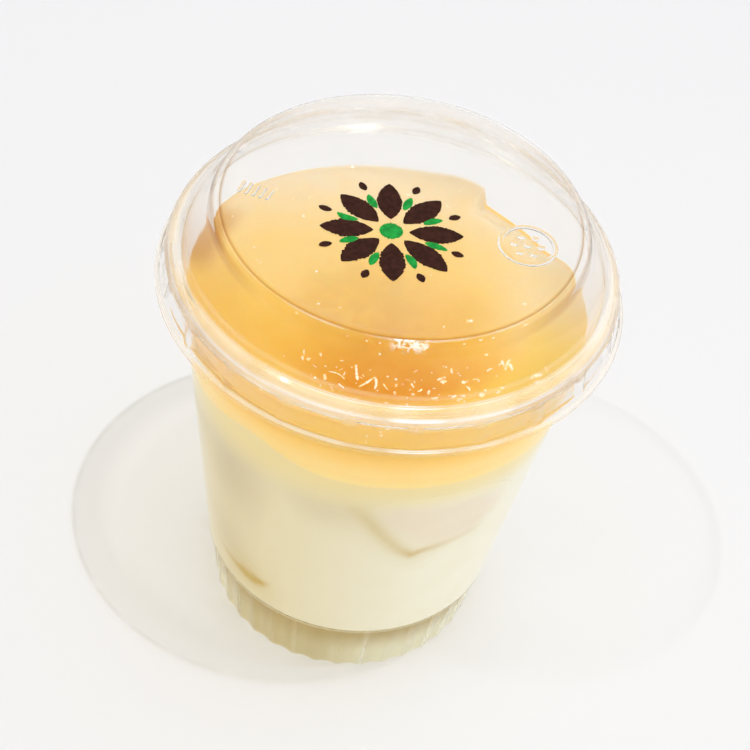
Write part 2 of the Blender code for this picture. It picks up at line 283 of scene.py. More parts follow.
def along_at(outline, along, places):
    """Points of an outline at the places where its measure along itself has those values."""
    return np.stack([np.interp(places, along, outline[:, 0]), np.interp(places, along, outline[:, 1])], 1)


def filled_in(outline, spacing, close=0.06 * MM):
    """The same outline with points added on its long stretches, by their distance along it.

    Two more stand close to the ends of each stretch, so that its middle is shaded as flat.
    """
    step = np.linalg.norm(np.diff(outline, axis=0), axis=1)
    along = np.r_[0, np.cumsum(step)]
    long = step > 4 * close
    extra = np.arange(spacing, along[-1], spacing)
    extra = extra[np.abs(extra[:, None] - along).min(1) > 0.35 * spacing]
    places = np.sort(np.r_[along, extra, along[:-1][long] + close, along[1:][long] - close])
    return along_at(outline, along, places)


def evenly(outline, count):
    """Points at even steps along an outline."""
    along = np.r_[0, np.cumsum(np.linalg.norm(np.diff(outline, axis=0), axis=1))]
    return along_at(outline, along, np.linspace(0, along[-1], count))


def softened(outline, width):
    """Evenly spaced outline blurred along itself: each point is the Gaussian mean of those near it.

    The ends are mirrored through their points, so that they stay where they are.
    """
    step = np.linalg.norm(outline[1] - outline[0])
    reach = int(4 * width / step) + 1
    weight = np.exp(-0.5 * (np.arange(-reach, reach + 1) * step / width) ** 2)
    padded = np.pad(outline, ((reach, reach), (0, 0)), mode="reflect", reflect_type="odd")
    return np.stack([np.convolve(padded[:, i], weight / weight.sum(), "valid") for i in (0, 1)], 1)


def thinned(outline, count, share):
    """So many points of a fine outline, close together where it turns and where the share is high.

    They stand at even steps of the sum of turn (radians) and share * length (mm).
    """
    way = np.diff(outline, axis=0)
    length = np.linalg.norm(way, axis=1)
    heading = np.unwrap(np.arctan2(way[:, 1], way[:, 0]))
    turn = np.abs(np.r_[0, np.diff(heading)])
    pace = np.r_[0, np.cumsum(turn + share[1:] * length / MM)]
    return along_at(outline, pace, np.linspace(0, pace[-1], count))


def arc(centre, radius, span, count):
    """Points of a circle's arc in the plane of radius and height, each with no rounding."""
    angle = np.radians(np.linspace(*span, count))
    return np.stack([centre[0] + radius * np.cos(angle), centre[1] + radius * np.sin(angle), 0 * angle], 1)


def round_z(radius, height, angle):
    """Points at a radius, height and angle about Z, each an array or a number."""
    turn = np.radians(angle)
    return np.stack(np.broadcast_arrays(radius * np.cos(turn), radius * np.sin(turn), height), -1)


def azimuths(count):
    """Evenly spread angles once round, as a row."""
    return np.linspace(0, 360, count, endpoint=False)[None]


def strands(centre, half_width, half_height, columns=10):
    """Closed strands on a nearly level surface: an ellipse carried along a path.

    A point is centre + side * half_width * cos(a) + up * half_height * sin(a), where side is square to the
    path in plan. Centre has the shape [strand, step, xyz], and a half-width of 0 at an end closes it.
    """
    way = np.gradient(centre[..., :2], axis=1)
    way = way / np.maximum(np.linalg.norm(way, axis=-1, keepdims=True), 1e-12)
    side = np.stack([-way[..., 1], way[..., 0], 0 * way[..., 0]], -1)[:, :, None]
    angle = np.linspace(0, 2 * np.pi, columns, endpoint=False)[None, None, :, None]
    up = np.array([0, 0, 1.0])
    width = np.broadcast_to(half_width, centre.shape[:2])[:, :, None, None]
    height = np.broadcast_to(half_height, centre.shape[:2])[:, :, None, None]
    return centre[:, :, None] + side * width * np.cos(angle) + up * height * np.sin(angle)


def add_piece(name, points, material, replaces=None, sharp=30, marks=None):
    """Closed mesh on a grid of points [row, column] or [item, row, column], riding on the cup.

    A quad joins each two rows and columns, and the last column meets the first. A first or last row that
    is one point becomes a fan of triangles. Faces are turned outwards by the sign of the enclosed volume.
    """
    points = points.reshape(-1, *points.shape[-3:])
    items, rows, columns = points.shape[:3]
    index = np.arange(items * rows * columns).reshape(items, rows, columns)
    for end in (0, -1):
        if np.ptp(points[:, end], axis=1).max() < 1e-9:
            index[:, end] = index[:, end, :1]
    low, high = index[:, :-1], index[:, 1:]
    quads = np.stack([low, np.roll(low, -1, 2), np.roll(high, -1, 2), high], -1).reshape(-1, 4)
    first, last = quads[:, 0] == quads[:, 1], quads[:, 2] == quads[:, 3]
    used, flat = np.unique(quads, return_inverse=True)
    place = points.reshape(-1, 3)[used]
    quads = flat.reshape(-1, 4)
    a, b, c, d = (place[quads[:, i]] for i in range(4))
    volume = (a * np.cross(b, c)).sum() + (a * np.cross(c, d)).sum()
    step = 1 if volume > 0 else -1
    faces = quads[~(first | last)][:, ::step].tolist()
    faces += quads[first][:, [0, 2, 3]][:, ::step].tolist()
    faces += quads[last][:, [0, 1, 2]][:, ::step].tolist()
    mesh = bpy.data.meshes.new(name)
    mesh.from_pydata(place, [], faces)
    for mark, values in (marks or {}).items():
        spread = np.broadcast_to(values, (items, rows, columns)).reshape(-1)[used]
        mesh.attributes.new(mark, "FLOAT", "POINT").data.foreach_set("value", spread.astype(np.float32))
    mesh.update()
    mesh.shade_smooth()
    mesh.set_sharp_from_angle(angle=np.radians(sharp))
    mesh.materials.append(material)
    piece = bpy.data.objects.new(name, mesh)
    bpy.context.scene.collection.objects.link(piece)
    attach(piece, BODY)
    if replaces:
        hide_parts(replaces)


def fruit_outline(fruit):
    """Smooth outline of a piece of fruit, as (distance along the wall, height) from its middle.

    Each round cuts the corners at a quarter of their sides.
    """
    points = np.array(fruit[3]) * MM
    for _ in range(FRUIT_ROUNDS):
        following = np.roll(points, -1, 0)
        cuts = [0.75 * points + 0.25 * following, 0.25 * points + 0.75 * following]
        points = np.stack(cuts, 1).reshape(-1, 2)
    return points


def fruit_distance(fruit, angle, z):
    """Distance of a place on the wall from the middle of a piece of fruit, and the outline's on its side."""
    outline = fruit_outline(fruit)
    along = np.radians(off(angle, fruit[0])) * wall_radius(z)
    up = z - fruit[1]
    turn = np.arctan2(outline[:, 1], outline[:, 0])
    order = np.argsort(turn)
    reach = np.interp(np.arctan2(up, along), turn[order], np.hypot(*outline.T)[order], period=2 * np.pi)
    return np.hypot(along, up), reach


def line_strength(line, angle, z):
    """How strongly a line of painted shadow marks a place on the wall: the highest of its straight
    stretches' values.

    A stretch gives amount * exp(-(distance / half-width)^2), and a share of the same at a wider half-width.
    """
    azimuth, height, width, amount = np.array(line).T[:, :, None, None]
    size = wall_radius(height.mean() * MM) / MM
    x, y = np.radians(off(angle, azimuth[:-1])) * size, z / MM - height[:-1]
    run, climb = np.radians(np.diff(azimuth, axis=0)) * size, np.diff(height, axis=0)
    t = np.clip((x * run + y * climb) / (run ** 2 + climb ** 2), 0, 1)
    apart = np.hypot(x - t * run, y - t * climb) / (width[:-1] + t * np.diff(width, axis=0))
    strength = amount[:-1] + t * np.diff(amount, axis=0)
    core, halo = np.exp(-apart ** 2), np.exp(-(apart / RIM_SHADOW_HALO) ** 2)
    return (strength * (core + RIM_SHADOW_HALO_SHARE * halo)).max(0)


def fruit_marks(angle, z):
    """Marks on the fruit and on the mousse beside it: how much painted brown shadow lies on a place, and how
    far inside the fruit it lies.
    """
    angle, z = np.broadcast_arrays(angle, z)
    brown, inside = 0, 0
    for line in FRUIT_RIM_SHADOWS:
        brown = np.maximum(brown, line_strength(line, angle, z))
    for fruit in (WEDGE, SLICE):
        distance, reach = fruit_distance(fruit, angle, z)
        inside = np.maximum(inside, smooth(reach - distance, 0, FRUIT_BLEND))
    return np.clip(brown, 0, 1), inside


def mousse_painted_shade(angle, z):
    """Sum of amount * exp(-(turn / half-width)^2 - (rise / half-height)^2) over the mousse's painted shade.
    """
    azimuth, width, height, tall, amount = np.array(MOUSSE_PAINTED_SHADE).T[:, :, None, None]
    spread = (off(angle, azimuth) / width) ** 2 + ((z / MM - height) / tall) ** 2
    return np.clip((amount * np.exp(-spread)).sum(0), 0, 1)


# Shaders

class Wire:
    """An output of a shader tree. A sum written on it adds the Math nodes."""

    def __init__(self, tree, socket=None):
        self.tree = tree
        self.socket = socket

    def node(self, kind, settings=None, values=None, output=0):
        """Add a shader node of that type: first its settings, then the values or links of its sockets."""
        made = self.tree.nodes.new("ShaderNode" + kind)
        for key, value in (settings or {}).items():
            if key == "stops":
                ramp = made.color_ramp.elements
                for i in (0, -1):
                    ramp[i].position, ramp[i].color = value[i]
                for position, colour in value[1:-1]:
                    ramp.new(position).color = colour
            else:
                setattr(made, key, value)
        for key, value in (values or {}).items():
            if isinstance(value, Wire):
                self.tree.links.new(value.socket, made.inputs[key])
            else:
                made.inputs[key].default_value = value
        return Wire(self.tree, made.outputs[output])

    def other(self, output):
        """Another output of the same node."""
        return Wire(self.tree, self.socket.node.outputs[output])

    def maths(self, operation, *values):
        """Math node of that operation on the values or links."""
        return self.node("Math", {"operation": operation}, dict(enumerate(values)))

    def __add__(self, other):
        return self.maths("ADD", self, other)

    def __sub__(self, other):
        return self.maths("SUBTRACT", self, other)

    def __rsub__(self, other):
        return self.maths("SUBTRACT", other, self)

    def __mul__(self, other):
        return self.maths("MULTIPLY", self, other)

    def __truediv__(self, other):
        return self.maths("DIVIDE", self, other)

    def __pow__(self, other):
        return self.maths("POWER", self, other)

    __radd__ = __add__
    __rmul__ = __mul__

    def rise(self, low, high):
        """0 below low, 1 above high, and a smooth step between."""
        return self.node("MapRange", {"interpolation_type": "SMOOTHSTEP"}, {0: self, 1: low, 2: high})

    def past(self, low, high):
        """The same with both in mm."""
        return self.rise(low * MM, high * MM)

    def band(self, start, full, still, end):
        """1 from full to still, with a smooth step down to 0 at start and at end, all in mm."""
        return self.past(start, full) * (1 - self.past(still, end))

    def mix(self, first, second):
        """Colour from first to second as this value goes from 0 to 1."""
        return self.node("Mix", {"data_type": "RGBA"}, {0: self, 6: first, 7: second}, 2)

    def blend(self, first, second):
        """Shader from first to second as this value goes from 0 to 1."""
        return self.node("MixShader", {}, {0: self, 1: first, 2: second})

    def bump(self, depth, strength):
        """Normal that stands for this value as a height of up to so many mm."""
        return self.node("Bump", {}, {"Strength": strength, "Distance": depth * MM, "Height": self})


class Place:
    """Where a point of a piece lies: its object coordinates and its distance from the axis."""

    def __init__(self, board):
        self.vector = board.node("TexCoord", output="Object")
        self.x = board.node("SeparateXYZ", {}, {0: self.vector})
        self.y, self.height = self.x.other(1), self.x.other(2)
        self.radius = (self.x * self.x + self.y * self.y) ** 0.5

    def noise(self, scale, detail=3.0, rough=0.5):
        """Fractal noise from 0 to 1, at a scale in cycles per metre."""
        values = {"Vector": self.vector, "Scale": scale, "Detail": detail, "Roughness": rough}
        return self.vector.node("TexNoise", {"noise_dimensions": "3D"}, values)

    def near(self, middle, full, none):
        """1 within the full distance (mm) of a place in plan, and 0 beyond the other."""
        across, along = self.x - middle[0] * MM, self.y - middle[1] * MM
        return 1 - ((across ** 2 + along ** 2) ** 0.5).past(full, none)


def new_material(name):
    """An empty material, with a Wire to build on and the Place that its finish follows."""
    material = bpy.data.materials.new(name)
    material.use_nodes = True
    material.node_tree.nodes.clear()
    board = Wire(material.node_tree)
    return material, board, Place(board)


def finished(material, surface):
    """The material, with a shader linked to its output."""
    end = material.node_tree.nodes.new("ShaderNodeOutputMaterial")
    material.node_tree.links.new(surface.socket, end.inputs["Surface"])
    return material


def darker(colour, share):
    """So much of a colour."""
    return (*(share * part for part in colour[:3]), 1)


def mark(board, name):
    """Value painted on the points of a piece under that name."""
    return board.node("Attribute", {"attribute_name": name}, output="Fac")


def principled(board, values):
    """General shader with those values or links."""
    return board.node("BsdfPrincipled", {}, values)


def see_through(board, colour):
    """Shader that passes light unbent, in that colour."""
    return board.node("BsdfTransparent", {}, {"Color": colour})


def clear_shader(board, at, look, colour, rough=0.03):
    """Glossy and slightly wavy clear plastic of that tint."""
    return principled(board, {
        "Base Color": colour, "Roughness": rough, "IOR": look.plastic_ior, "Transmission Weight": 1.0,
        "Normal": at.noise(40.0, 1.0).bump(0.1, 0.4),
    })


def let_light_in(board, clear, look, shaded=None):
    """Clear shader that lets the light of lamps and of pale surfaces straight through.

    Less of the lamps' light gets through where shaded is 1.
    """
    straight = passed = see_through(board, look.shadow_tint)
    if shaded:
        passed = shaded.blend(straight, see_through(board, look.lid_shade))
    shadow_ray = board.node("LightPath", output="Is Shadow Ray")
    return shadow_ray.blend(shadow_ray.other("Is Diffuse Ray").blend(clear, straight), passed)


def glow_through(board, colour, values):
    """Dense but translucent shader: a share of the lamps' light goes through it and takes on that colour."""
    shadow_ray = board.node("LightPath", output="Is Shadow Ray")
    return shadow_ray.blend(principled(board, values), see_through(board, colour))


def relief_plastic(look):
    """Thin moulded plastic."""
    material, board, at = new_material("relief_plastic")
    return finished(material, let_light_in(board, clear_shader(board, at, look, look.plastic), look))


def cup_plastic(look, flutes):
    """Clear plastic. The foot has painted shade, a darker tint for the shadowy hollow seen through it,
    lighter on the side of the light, and pale painted highlights on some ridges.
    """
    material, board, at = new_material("clear_plastic")
    foot = 1 - at.height.rise(FOOT_HEIGHT + 0.7 * MM, FOOT_HEIGHT + 1.3 * MM)
    turn = board.maths("ARCTAN2", at.y, at.x)
    some = board.node("TexNoise", {"noise_dimensions": "1D"}, {"W": turn, "Scale": 7.0, "Detail": 1.0})
    some = some.rise(0.45, 0.65)
    # Painted shade: the foot's tint is darker for the shadowy hollow seen through it, lighter towards the
    # right, where the light falls, and at the far left, and darkest up by the cream and on the ledge.
    right = at.x.past(-10, 15) + 0.45 * (1 - at.x.past(-27, -14))
    tint = (right + 0.12 * some).mix(look.foot, look.foot_right)
    tint = at.height.rise(4.5 * MM, FOOT_HEIGHT).mix(tint, look.foot_top_shade)
    tint = at.height.past(14.2, 14.7).mix(tint, look.foot_ledge_shade)
    rough = 0.03 + 0.09 * foot + 0.12 * at.height.past(93, 95)
    clear = clear_shader(board, at, look, foot.mix(look.plastic, tint), rough)
    # The cosine of half the flutes' turn is 0 on a ridge.
    from_ridge = board.maths("ABSOLUTE", board.maths("COSINE", turn * (flutes / 2)))
    # Painted highlights: pale streaks on some ridges.
    ridge_highlight = foot * (1 - from_ridge.rise(0.0, 0.6)) * some * (1 - 0.6 * at.height.past(4, 13))
    pale = principled(board, {
        "Base Color": some.mix(look.highlight_film, look.foot_ridge_highlight), "Roughness": 0.35 + 0.2 * some,
    })
    return finished(material, let_light_in(board, (0.3 * ridge_highlight).blend(clear, pale), look))


def lid_plastic(look):
    """Clear plastic, with painted light on it.

    A painted veil of reflection lies on the flat top. The top's edge has a brown painted reflection and a
    white painted highlight line, and the moulded edges below it have pale painted highlights.
    """
    material, board, at = new_material("lid_plastic")
    depth = TOTAL_HEIGHT - at.height
    upper = 1 - depth.past(2, 3)
    back = at.y.past(0, 20)
    side = board.maths("ABSOLUTE", at.x).past(20, 34)
    # Painted reflection: the top's edge, and at the sides the slope below it and the flange, are tinted brown
    # where the jelly's colour shows in them.
    edge = at.radius.past(34.3, 35.3) ** 2 * (1 - at.radius.past(35.25, 35.35)) * (1 - back)
    outer = at.radius.past(36.1, 36.5) * (0.15 + 0.85 * upper) + depth.band(11, 11.6, 13.6, 14.4)
    tint = (0.8 * edge * upper + 0.5 * side * outer).mix(look.plastic, look.lid_edge_reflection)
    rough = 0.03 + 0.05 * at.radius.past(41, 42) + 0.09 * back + 0.04 * side * at.radius.past(36, 38)
    clear = clear_shader(board, at, look, tint, rough)
    # Painted highlights: the top's edge has a white line and, where it gleams, a crinkled glint.
    broken = at.noise(120.0, 1.0).rise(0.25, 0.6)
    line = at.radius.band(35.3, 35.4, 35.5, 35.7) * upper * (0.2 + 0.6 * at.near(EDGE_GLEAM, 5, 40))
    edge_glint = at.noise(700.0, 2.0).rise(0.47, 0.55) * at.near(EDGE_GLEAM, 2.2, 4.5)
    edge_glint = edge_glint * at.radius.band(35.3, 35.5, 36.6, 37.0) * upper
    # Painted highlights, laid on as a pale layer, are whitest on the flange's lines, which gleam at the front
    # and fade at the back. A faint veil of painted reflection lies on the flat top, and pale patches of
    # painted reflection on the slope at the back.
    stops = [(deep / HIGHLIGHT_SPAN, (share, share, share, 1)) for deep, share in LID_HIGHLIGHTS]
    highlight_film = board.node("ValToRGB", {"stops": stops}, {0: depth / (HIGHLIGHT_SPAN * MM)})
    white = highlight_film.rise(0.37, 0.44)
    bright = (highlight_film - 0.25 * white) * (1 - 0.7 * back) + 0.25 * white * at.near(FRONT_GLEAM, 8, 55)
    gleam = white * at.near(FRONT_GLEAM, 2.5, 6.5)
    patches = at.noise(90.0, 4.0).rise(0.3, 0.7)
    flat = (1 - at.radius.past(33.5, 35.0)) * (1 - depth.past(1.4, 2))
    back_reflection = back * at.radius.band(38.3, 39.8, 40.5, 41.5) * patches
    amount = 0.03 * flat * (0.7 + 0.5 * patches) + bright * (0.6 + 0.5 * broken)
    amount = amount + 0.4 * line * broken + 0.6 * edge_glint + 0.5 * gleam + 0.3 * back_reflection
    pale = principled(board, {
        "Base Color": (white + line + 0.5 * edge_glint + flat).mix(look.highlight_film, look.highlight_line),
        "Roughness": 0.35 + 0.2 * patches, "Normal": patches.bump(0.05, 0.5),
    })
    shaded = at.radius.band(32, 39.5, 45.4, 45.8) * (0.55 + 0.45 * at.y.past(-40, 0))
    return finished(material, let_light_in(board, amount.blend(clear, pale), look, shaded))


def amber_jelly(look):
    """Set fruit jelly, wet, with a faint grain. Its colour is partly painted light and shade: deep amber by
    the front wall and paler at the back.

    Its side has a painted glow, an emission that stands in for the light that enters at the top.
    """
    material, board, at = new_material("amber_jelly")
    grain = at.noise(160.0, 5.0, 0.6)
    clouds = at.noise(55.0, 3.0)
    fine = at.noise(900.0, 3.0)
    # Painted light and shade: the colour deepens towards a point by the front wall and grows paler away from
    # it.
    reach = board.node("VectorMath", {"operation": "DISTANCE"}, {0: at.vector, 1: JELLY_DEEPEST}, "Value")
    reach = reach + 10 * MM * (clouds - 0.5)
    stops = [(part * MM / JELLY_SPAN, colour) for part, colour in (
        (8, look.jelly_deep), (24, look.jelly_front), (38, look.jelly_side), (50, look.jelly_middle),
        (68, look.jelly_far))]
    colour = board.node("ValToRGB", {"stops": stops}, {0: reach / JELLY_SPAN})
    # Painted light: paler again on the right, towards the back.
    colour = (0.6 * at.x.past(16, 34) * at.y.past(-22, 4)).mix(colour, look.jelly_far)
    # Painted light and shade: lighter and yellower near the wall at the front, less so on its left, and
    # darker in the rim at the far left.
    brim = at.x.past(-30, -6).mix(look.jelly_brim_left, look.jelly_brim)
    colour = (0.72 * at.radius.past(26, 32) * (1 - at.y.past(-10, 10))).mix(colour, brim)
    rim = at.radius.past(34, 38.5) * (1 - at.x.past(-32, -10)) * at.y.band(-4, 4, 12, 20)
    colour = (0.8 * rim).mix(colour, look.jelly_rim)
    # The side is the outer face, and at the front all that lies close to it.
    face = (at.radius - WALL_SLOPE * at.height).rise(FACE_START - 1.2 * MM, FACE_START - 0.4 * MM)
    close = at.radius.past(38.3, 38.9)
    wall = close + at.y.past(0, 15) * (face - close)
    above = at.height - LAYER_HEIGHT
    # Painted light on the side: lighter and yellower towards the mousse, and tinted with the mousse's glow at
    # the bottom.
    colour = (wall * (1 - above.rise(10 * MM, JELLY_TOP - LAYER_HEIGHT))).mix(colour, look.jelly_wall)
    colour = (wall * (1 - above.past(3, 10))).mix(colour, look.jelly_low)
    colour = (0.2 * grain.rise(0.45, 0.75)).mix(colour, look.jelly_pale)
    colour = (0.5 * wall * (1 - above.past(-0.5, 2.5))).mix(colour, look.mousse_glow)
    # Painted glow: the lower side gives off light of its own, as an emission.
    lit = wall * (1 - at.height.rise(LAYER_HEIGHT + 7 * MM, JELLY_TOP + 1 * MM))
    return finished(material, glow_through(board, look.jelly_passes, {
        "Base Color": colour, "Roughness": 0.12 + 0.1 * grain, "IOR": 1.33,
        "Subsurface Weight": 1.0, "Subsurface Radius": (1.0, 0.8, 0.5), "Subsurface Scale": 0.5 * MM,
        "Emission Color": lit.mix((0, 0, 0, 1), look.jelly_lit), "Emission Strength": 1.0,
        "Normal": (clouds + 0.35 * grain + 0.1 * fine).bump(0.5, 0.8),
    }))


def painted_glints(look):
    """Painted glints on the jelly's domes and creases: pale, wet, a little see-through, with a faint glow."""
    material, board, at = new_material("painted_glints")
    grain = at.noise(800.0, 4.0)
    return finished(material, glow_through(board, look.glint_froth, {
        "Base Color": grain.rise(0.35, 0.7).mix(look.glint_froth, look.jelly_middle),
        "Roughness": 0.15 + 0.2 * grain, "Normal": grain.bump(0.1, 0.5),
        "Emission Color": look.glint_froth, "Emission Strength": 0.12,
    }))


def mousse_colour(board, at, look, mottle):
    """Cream with its mottling, and painted light: shade on the left and in broad patches, a yellow glow under
    the jelly and brown shadow beside the fruit.
    """
    side = at.x.past(-26, 24).mix(look.mousse_left, look.mousse)
    colour = (0.2 * mottle.rise(0.3, 0.7)).mix(side, look.mousse_shade)
    colour = mark(board, "tone").mix(colour, look.mousse_painted_shade)
    near = at.height.rise(LAYER_HEIGHT - 12 * MM, LAYER_HEIGHT - 0.5 * MM)
    colour = (0.9 * near).mix(colour, look.mousse_glow)
    return mark(board, "brown").mix(colour, look.fruit_rim_shadow)


def cream_mousse(look):
    """Dense cream: soft and faintly mottled, with painted shade, a painted yellow glow under the jelly and
    painted brown shadow beside the fruit.
    """
    material, board, at = new_material("cream_mousse")
    mottle = at.noise(120.0, 4.0)
    pits = board.node("TexVoronoi", {"feature": "F1"}, {"Vector": at.vector, "Scale": 420.0})
    return finished(material, glow_through(board, look.mousse_passes, {
        "Base Color": mousse_colour(board, at, look, mottle), "Roughness": 0.42 + 0.12 * mottle, "IOR": 1.4,
        "Normal": (mottle + 0.3 * pits.rise(0.0, 0.25)).bump(0.25, 0.5),
    }))


def fruit_flesh(name, flesh, look):
    """Moist fruit: its own colour inside, and the mousse's at its rim, so that the rim is soft. The mousse's
    colour brings the painted brown shadow along the lower rim.
    """
    material, board, at = new_material(name)
    mottle = at.noise(150.0, 4.0)
    inside = mark(board, "inside") * (0.45 + 0.4 * mottle)
    return finished(material, glow_through(board, look.mousse_passes, {
        "Base Color": inside.mix(mousse_colour(board, at, look, mottle), flesh),
        "Roughness": 0.42 + 0.12 * mottle, "IOR": 1.4, "Normal": mottle.bump(0.2, 0.4),
    }))


def lid_ink(name, colour, look):
    """Printed ink, a little dry and streaky at its edges."""
    material, board, at = new_material(name)
    streaks = at.noise(900.0, 5.0, 0.7)
    return finished(material, glow_through(board, look.ink_passes, {
        "Base Color": streaks.rise(0.35, 0.65).mix(darker(colour, 0.6), colour),
        "Roughness": 0.4 + 0.25 * streaks, "Specular IOR Level": 0.03, "Normal": streaks.bump(0.03, 0.5),
    }))


def floor_finish(stage):
    """Smooth white table with a hardly visible cloudiness."""
    material, board, at = new_material("pale_floor")
    colour = at.noise(4.0, 3.0).mix(stage.floor, darker(stage.floor, 0.985))
    return finished(material, principled(board, {
        "Base Color": colour, "Roughness": 0.6, "Specular IOR Level": 0.2,
    }))


# Settings

def paint(name, description, *colour):
    """Setting for a colour, given as its red, green and blue."""
    return FloatVectorProperty(name=name, description=description, default=(*colour, 1), subtype="COLOR",
                               size=4, min=0, soft_max=1)


def length(name, description, default):
    """Setting for a length, given in mm."""
    default = default * MM
    return FloatProperty(name=name, description=description, default=default, unit="LENGTH", precision=5)


def number(name, description, default):
    """Setting for a count."""
    return IntProperty(name=name, description=description, default=default)


class CupSettings(PropertyGroup):
    """Sizes of the cup."""
    wall: length("Wall", "Thickness of the cup's wall", 0.8)
    flutes: number("Flutes", "Number of flutes round the foot", 36)
    flute_depth: length("Flute Depth", "Depth of a flute at the foot's lower edge", 0.75)


class LidSettings(PropertyGroup):
    """Sizes of the lid."""
    wall: length("Wall", "Thickness of the lid's wall", 0.35)
    lugs: number("Catches", "Number of catches round the skirt", 23)
    lug_depth: length("Catch Depth", "How far the catches are pressed in", 0.5)
    petals: number("Petals", "Number of petals in the printed flower", 8)
    petal_length: length("Petal Length", "Length of a printed petal", 10.5)


class FillingSettings(PropertyGroup):
    """Sizes of the contents."""
    reach: length("Reach", "How far the contents reach into the wall", 0.25)
    bubbles: number("Bubbles", "Number of small domes on the jelly", 70)
    creases: number("Creases", "Number of short creases on the jelly", 36)


class LookSettings(PropertyGroup):
    """Colours of the finishes."""
    plastic: paint("Plastic", "Tint of the clear plastic", 0.99, 0.985, 0.975)
    plastic_ior: FloatProperty(name="Plastic IOR", description="Refractive index", default=1.3)
    shadow_tint: paint("Shadow Tint", "Share of light that each clear wall passes", 0.966, 0.962, 0.945)
    lid_shade: paint("Lid Shade", "Share of light that the lid's outer part passes", 0.78, 0.76, 0.67)
    # Painted reflection of the jelly, in brown, on the lid's edges
    lid_edge_reflection: paint("Lid Edge", "Tint of the edge round the lid's flat top", 0.62, 0.40, 0.20)
    # Painted highlights on the lid's edges and on the foot's ridges
    highlight_film: paint("Film", "Pale film on the lid's flange", 1.0, 0.86, 0.64)
    highlight_line: paint("Film Line", "Brightest edges of the lid's flange", 1.0, 0.99, 0.97)
    # Painted shade and highlights on the foot: its tint stands in for the shadowy hollow seen through it
    foot: paint("Foot", "Tint of the hollow foot", 0.715, 0.615, 0.35)
    foot_right: paint("Foot Right", "Tint of the foot on the side of the light", 1.0, 0.995, 0.81)
    foot_ridge_highlight: paint("Foot Streak", "Pale streaks on the foot's ridges", 0.93, 0.90, 0.78)
    foot_top_shade: paint("Foot Top", "Tint of the foot just under the cream", 0.60, 0.47, 0.22)
    foot_ledge_shade: paint("Foot Ledge", "Tint of the ledge round the raised floor", 0.48, 0.39, 0.19)
    # Jelly colours, partly painted light and shade, with a painted glow on its side
    jelly_deep: paint("Jelly Deep", "Jelly where its layer is thickest", 0.78, 0.31, 0.005)
    jelly_front: paint("Jelly Front", "Jelly by the front wall", 0.88, 0.49, 0.055)
    jelly_side: paint("Jelly Side", "Jelly on either side", 0.91, 0.58, 0.115)
    jelly_middle: paint("Jelly Middle", "Jelly over the middle of the cup", 0.90, 0.62, 0.19)
    jelly_far: paint("Jelly Far", "Jelly at the back", 0.87, 0.71, 0.47)
    jelly_brim: paint("Jelly Brim", "Jelly near the wall at the front", 0.95, 0.64, 0.10)
    jelly_brim_left: paint("Jelly Brim Left", "The same on the left", 0.87, 0.52, 0.09)
    jelly_rim: paint("Jelly Rim", "Jelly in the left rim", 0.62, 0.31, 0.055)
    jelly_wall: paint("Jelly Wall", "Jelly on the wall, under the lid's skirt", 0.90, 0.60, 0.11)
    jelly_low: paint("Jelly Low", "Jelly just above the mousse, at the wall", 1.0, 0.73, 0.27)
    jelly_pale: paint("Jelly Pale", "Cloudy specks in the jelly", 0.95, 0.62, 0.14)
    jelly_lit: paint("Jelly Light", "Light that the jelly's side lets out", 0.22, 0.105, 0.042)
    jelly_passes: paint("Jelly Passes", "Light that passes each side of the jelly", 0.985, 0.978, 0.94)
    # Painted glints
    glint_froth: paint("Froth", "Fine air bubbles in the jelly", 1.0, 0.93, 0.78)
    mousse: paint("Mousse", "Cream of the mousse", 1.0, 0.965, 0.765)
    mousse_left: paint("Mousse Left", "Cream on the side away from the light", 0.91, 0.79, 0.465)
    mousse_shade: paint("Mousse Shade", "Faint mottling of the mousse", 0.95, 0.85, 0.58)
    # Painted shade in broad patches, and a painted glow just under the jelly
    mousse_painted_shade: paint("Mousse Tone", "Broad darker tones of the mousse", 0.73, 0.61, 0.35)
    mousse_glow: paint("Mousse Glow", "Mousse just under the jelly", 1.0, 0.82, 0.37)
    mousse_passes: paint("Mousse Passes", "Light that passes each side of the mousse", 0.965, 0.96, 0.94)
    fruit_inside: paint("Fruit Inside", "Flesh of the fruit", 0.93, 0.78, 0.58)
    # Painted brown shadow along the fruit's lower rim
    fruit_rim_shadow: paint("Fruit Edge", "Outline of the fruit", 0.66, 0.44, 0.06)
    brown: paint("Brown Fruit", "The small slice near the foot", 0.80, 0.64, 0.33)
    ink: paint("Ink", "Dark printing ink", 0.050, 0.018, 0.012)
    ink_green: paint("Green Ink", "Green printing ink", 0.020, 0.35, 0.058)
    ink_passes: paint("Ink Passes", "Light that passes each side of the thin ink", 0.9, 0.88, 0.86)


class StageSettings(PropertyGroup):
    """Floor, lamps and the light from all round."""
    floor: paint("Floor", "Colour of the floor", 0.775, 0.775, 0.785)
    sky: FloatProperty(name="Sky", description="Brightness of the soft light from all round", default=1.0)
    sky_left: paint("Sky Left", "Soft light from the left", 0.82, 0.77, 0.65)
    sky_right: paint("Sky Right", "Soft light from the right", 1.29, 1.30, 1.33)
    sky_top: paint("Sky Top", "Soft light from above", 0.745, 0.755, 0.785)
    sky_front: paint("Sky Front", "Darker patch of the soft light, in front of the cup", 0.45, 0.42, 0.38)
    right_lamp: FloatProperty(name="Right Lamp", description="Power of the lamp high on the right",
                              default=6.3, unit="POWER")
    left_lamp: FloatProperty(name="Left Lamp", description="Power of the lamp high on the left",
                             default=7.35, unit="POWER")


# Pieces

